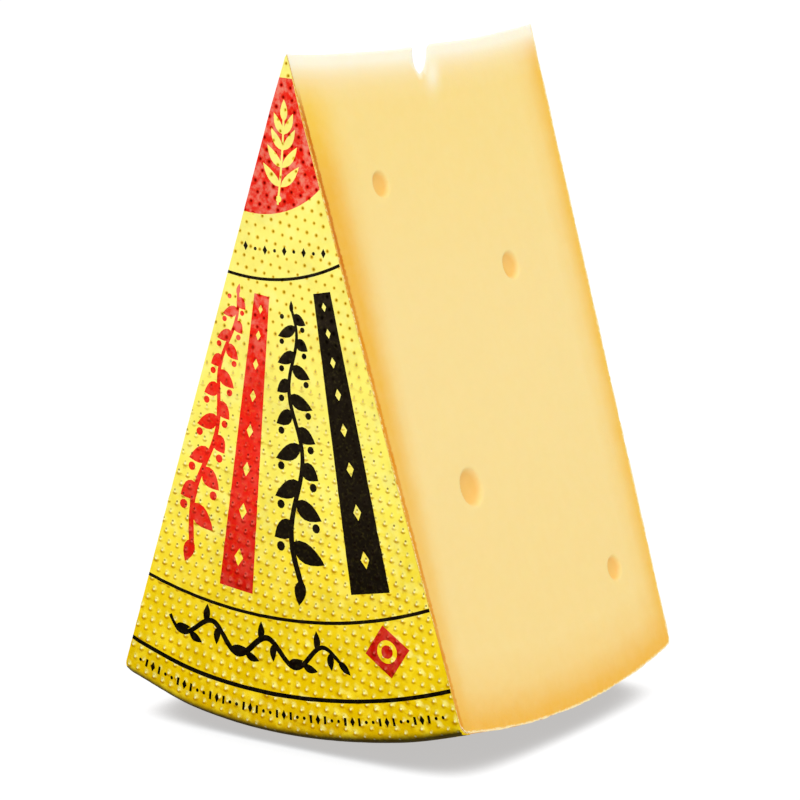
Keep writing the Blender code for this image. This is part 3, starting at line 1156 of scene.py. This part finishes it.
def foil_material(name, light, ink=None, worn_share=0.0):
    """Embossed gold foil, bare or under a layer of ink given by its high, low and pale colours, with
    painted highlight and shade on its dots and round its rim.

    light is the share of the colour that is kept, and worn_share how much ink is worn off in places.
    """
    n = Nodes(name)
    place = n.position()
    down, dot, aside = n.attribute("foil")
    slope, rho, ahead = n.attribute("press")
    turn = n.math("MAXIMUM", n.math("MULTIPLY_ADD", rho, 1 / RIM_ARC, -RIM_C / RIM_ARC), 0.0)
    lower = n.range(down, 62.0, 116.0)
    raised = n.range(down, 56.0, 92.0)
    share = n.math("DIVIDE", down, LABEL_REACH, clamp=True)
    colour = n.ramp(share, FOIL_COLOURS_AND_SHADE)
    if ink is None:
        # Painted shade for pits and slopes (core, fringe, shade) and painted highlights (glow, tip, bright)
        core = n.mix(n.range(down, 45.0, 75.0), (150, 112, 0), (104, 70, 0))
        fringe_shade, shade = (226, 176, 0), (186, 136, 0)
        glow, tip = (255, 246, 138), (255, 252, 190)
        bright = n.mix(n.range(down, 98.0, 130.0), glow, (252, 224, 40))
    else:
        high, low, pale = ink
        # Darker towards the rim, partly painted shade, with pale patches between the dots
        layer = n.ramp(share, ((0.0, high), (0.62, high), (0.88, low)))
        blotch = n.times(n.range(n.noise(place, 2.2, 4.0, 0.65), 0.40, 0.66), n.range(dot, 0.3, 1.0))
        blotch = n.times(blotch, n.range(down, 40.0, 85.0, 0.95, 0.07))
        layer = n.mix(blotch, layer, pale)
        worn = n.range(n.noise(place, 0.8, 4.0, 0.7), 0.3, 0.5, worn_share, 0.0)
        colour = n.mix(worn, layer, colour)
        # The ink's painted shade and highlights, from its own colours
        core, fringe_shade = n.mix(0.72, low, (10, 0, 0)), low
        shade = n.mix(0.5, colour, (16, 0, 0))
        glow = tip = bright = n.mix(0.4, colour, pale)
    # Painted shade on slopes that face away from the light, and painted highlight on those that face it
    away = n.times(n.range(slope, 0.03, 0.2, 0.0, 0.85), n.math("MULTIPLY_ADD", lower, 0.7, 0.3))
    colour = n.mix(away, colour, shade)
    towards = n.times(n.range(slope, -0.02, -0.16, 0.0, 0.75), n.math("MULTIPLY_ADD", lower, 0.8, 0.2))
    colour = n.mix(towards, colour, glow)
    # Painted sheen: broad pale patches of highlight between the dots
    painted_sheen = n.range(n.noise(place, 4.5, 5.0, 0.6), 0.46, 0.66, 0.0, 0.7 if ink is None else 0.3)
    colour = n.mix(n.times(painted_sheen, n.range(dot, 0.25, 0.7)), colour, bright)
    # Near the point each dot is a pit, with painted shade: a dark core in an amber fringe
    around = n.math("MULTIPLY_ADD", raised, 0.34, dot)
    colour = n.mix(n.range(around, 0.62, 0.28, 0.0, 0.85), colour, fringe_shade)
    colour = n.mix(n.range(around, 0.3, 0.15, 0.0, 0.95), colour, core)
    # Further down it is raised, with a painted highlight on it, a dark spot of painted shade above it and a
    # deeper yellow of painted shade below it
    crescent_shade = n.times(n.range(ahead, 0.12, 0.45), n.range(dot, 1.0, 0.66))
    varied = n.range(n.noise(place, 4.0, 4.0, 0.6), 0.36, 0.62, 0.35, 0.85)
    colour = n.mix(n.times(crescent_shade, n.times(raised, varied)), colour, shade)
    spot_x, spot_y = n.math("ADD", aside, -0.06), n.math("ADD", ahead, 0.43)
    spot = n.math("ADD", n.times(spot_x, spot_x), n.times(spot_y, spot_y))
    spot_share = n.times(n.range(down, 56.0, 84.0, 0.0, 0.85), n.range(down, 104.0, 136.0, 1.0, 0.3))
    spot_share = n.times(spot_share, n.range(dot, 0.84, 0.7))
    spot_share = n.times(spot_share, n.range(n.noise(place, 2.6, 3.0), 0.36, 0.6, 0.3, 1.0))
    colour = n.mix(n.times(n.range(spot, 0.11, 0.02), spot_share), colour, core)
    colour = n.mix(n.times(n.range(dot, 0.36, 0.16, 0.0, 0.8), raised), colour, tip)
    # Painted shade darkens the foil round the rim, where it turns under, along a wavering edge
    rim_shade_wobble = n.math("MULTIPLY_ADD", n.noise(place, 1.6, 4.0, 0.65), 0.3, -0.15)
    rim = n.range(n.math("ADD", turn, rim_shade_wobble), 0.02, 0.78)
    near_rim_shade = n.range(rho, 142.0, 148.5, 1.0, 0.9)
    # Painted shade: soft darker patches that stand for the shading of the foil's crinkles
    painted_crinkle_shade = n.range(n.noise(place, 6.0, 5.0, 0.65), 0.3, 0.6, 0.9, 1.0)
    level = n.times(painted_crinkle_shade, near_rim_shade, n.math("MULTIPLY_ADD", rim, -0.95 * light, light))
    colour = n.node("ShaderNodeVectorMath", {0: colour, "Scale": level}, operation="SCALE").outputs[0]
    n.set(Base_Color=colour, IOR=1.05, Specular_Tint=(0.9, 0.75, 0.35, 1.0))
    fade = n.range(turn, 0.0, 0.35, 1.0, 0.0)
    if ink is None:
        n.set(Metallic=n.times(n.range(down, 30.0, 130.0, 0.35, 0.95, "LINEAR"), fade))
    else:
        n.set(Metallic=0.1)
    n.set(Roughness=n.range(n.noise(place, 3.0, 3.0), 0.3, 0.7, 0.4, 0.5))
    turned = n.mapped(place, Rotation=(0.0, -FOLD_TURN, 0.0))
    turned = n.mapped(turned, Scale=(0.28, 1.0, 1.0))
    crease = n.times(n.noise(turned, 1.3, 3.0, 0.6), n.math("MULTIPLY_ADD", lower, 0.4, 0.3))
    n.bump(crease, 0.22, 0.8)
    return n.material


def edge_material():
    """Grainy section of the rind just behind the foil."""
    n = Nodes("label_edge")
    place = n.position()
    grains = n.noise(place, 0.7, 3.0, 0.6)
    colour = n.ramp(grains, ((0.34, (230, 146, 20)), (0.48, (244, 190, 80)), (0.66, (255, 238, 176))))
    down = n.attribute("foil")[0]
    streak = n.range(n.noise(place, 6.0, 3.0, 0.6), 0.5, 0.66)
    near_point = n.times(n.range(down, 7.0, 10.0), n.range(down, 20.0, 16.0))
    streak = n.math("MAXIMUM", streak, near_point)
    colour = n.mix(n.times(streak, 0.85), colour, (226, 140, 8))
    n.set(Base_Color=colour, Roughness=0.7, Specular_IOR_Level=0.08)
    n.bump(grains, 0.2, 0.6)
    return n.material


def floor_object():
    """A large plain floor at the height that the wedge stands on."""
    mesh = bpy.data.meshes.new("floor")
    corners = [(x * FLOOR_HALF, y * FLOOR_HALF, 0) for x, y in ((-1, -1), (1, -1), (1, 1), (-1, 1))]
    mesh.from_pydata(corners, [], [(0, 1, 2, 3)])
    obj = new_object("floor", mesh)
    n = Nodes("floor_white")
    # A soft grey contact shadow under an evenly lit floor
    open_sky = n.node("ShaderNodeAmbientOcclusion", {"Distance": 0.11}, samples=24).outputs["AO"]
    glow = n.range(open_sky, SHADOW_FROM, SHADOW_TO, SHADOW_GLOW, FLOOR_GLOW)
    n.set(Base_Color=(0.06, 0.063, 0.067, 1.0), Roughness=0.9, Specular_IOR_Level=0.0)
    n.set(Emission_Color=(1.0, 1.0, 1.0, 1.0), Emission_Strength=glow)
    mesh.materials.append(n.material)


def sun_light(name, towards, power, softness):
    """A broad far light from a direction, softness degrees across."""
    data = bpy.data.lights.new(name, "SUN")
    data.energy = power
    data.angle = math.radians(softness)
    obj = new_object(name, data)
    obj.rotation_euler = Vector(towards).to_track_quat("Z", "Y").to_euler()


def camera_object():
    """The photograph's camera, looking along its azimuth and elevation."""
    az, el = math.radians(CAMERA_AZ), math.radians(CAMERA_EL)
    back = Vector((math.sin(az) * math.cos(el), -math.cos(az) * math.cos(el), math.sin(el)))
    data = bpy.data.cameras.new("camera")
    data.lens = CAMERA_LENS
    data.sensor_width = 36.0
    data.clip_start, data.clip_end = 0.01, 50.0
    obj = new_object("camera", data)
    obj.location = CAMERA_AT
    obj.rotation_euler = (-back).to_track_quat("-Z", "Y").to_euler()
    bpy.context.scene.camera = obj


def surroundings():
    """Even white light from all round, four soft suns and plain colour settings."""
    world = bpy.data.worlds.new("studio")
    world.use_nodes = True
    background = world.node_tree.nodes["Background"].inputs
    background["Color"].default_value = (1.0, 1.0, 1.0, 1.0)
    background["Strength"].default_value = WORLD_STRENGTH
    scene = bpy.context.scene
    scene.world = world
    scene.view_settings.view_transform = "Standard"
    scene.view_settings.look = "None"
    scene.view_settings.exposure = 0.0
    scene.view_settings.gamma = 1.0
    for sun in SUNS:
        sun_light(*sun)


def main():
    camera_object()
    cheese = cheese_object()
    for material in (paste_material(), rind_material()):
        cheese.data.materials.append(material)
    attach(cheese, "root")
    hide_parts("cheese")
    label = label_object()
    gold = foil_material("foil_gold", 1.0)
    red = foil_material("foil_red_ink", 0.9, RED_INK, 0.06)
    black = foil_material("foil_black_ink", 0.9, BLACK_INK, 0.02)
    for material in (gold, red, black, edge_material()):
        label.data.materials.append(material)
    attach(label, "root")
    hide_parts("label")
    floor_object()
    surroundings()


main()
